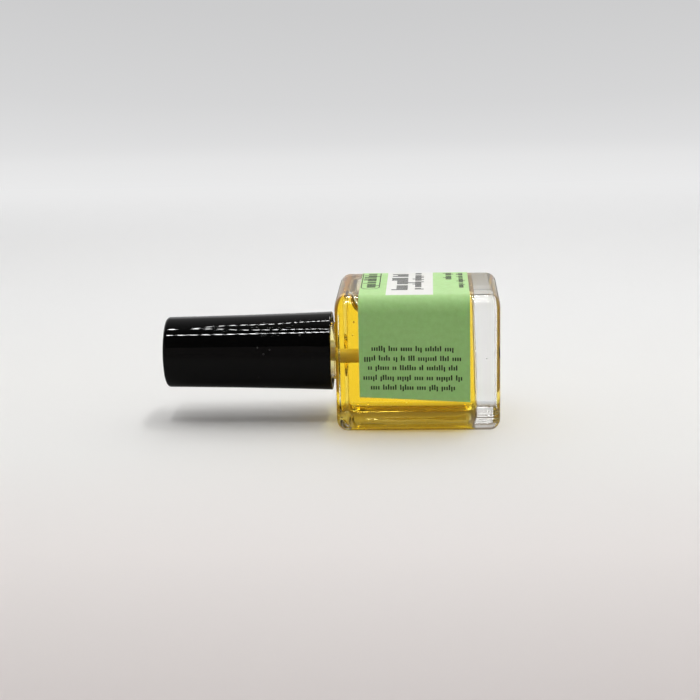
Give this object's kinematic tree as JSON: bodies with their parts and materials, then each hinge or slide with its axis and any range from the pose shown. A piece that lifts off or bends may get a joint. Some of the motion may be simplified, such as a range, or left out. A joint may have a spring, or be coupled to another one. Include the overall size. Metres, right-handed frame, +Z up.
{
  "type": "cuticle oil bottle",
  "caption": "Square glass bottle of golden oil lying on one side, with a paper label, a tall flared black screw cap and a brush fixed inside the cap.",
  "frame": {"origin": "on the surface the bottle lies on, under the middle of its whole length, cap included", "axes": "+X along the bottle's axis from the cap to the base, +Z up, out of the label's front; the axis runs 14.25 mm above the origin"},
  "size_m": [0.07, 0.029, 0.0287],
  "materials": {
    "clear_glass": "clear moulded flint glass",
    "golden_oil": "clear golden oil",
    "green_paper": "matt printed sticker paper",
    "black_gloss_plastic": "polished black, fine hairline scratches",
    "black_matte_plastic": "as moulded",
    "natural_plastic": "translucent natural polyethylene",
    "black_nylon": "fine cut strands",
    "anchor_metal": "cut strip"
  },
  "bodies": {
    "bottle": {"bottle": "clear_glass", "oil": "golden_oil", "label": "green_paper"},
    "brush": {"wand": "natural_plastic", "bristles": "black_nylon", "tuft_anchor": "anchor_metal"},
    "cap": {"overcap": "black_gloss_plastic", "inner_cap": "black_matte_plastic"}
  },
  "joints": [
    {"name": "cap_lift", "type": "slide", "parent": "bottle", "child": "brush", "axis": [-1, 0, 0], "range_m": [0, 0.046]},
    {"name": "cap_turn", "type": "hinge", "parent": "brush", "child": "cap", "pos_m": [0, 0, 0.01425], "axis": [-1, 0, 0], "range_deg": [0, 720]}
  ]
}
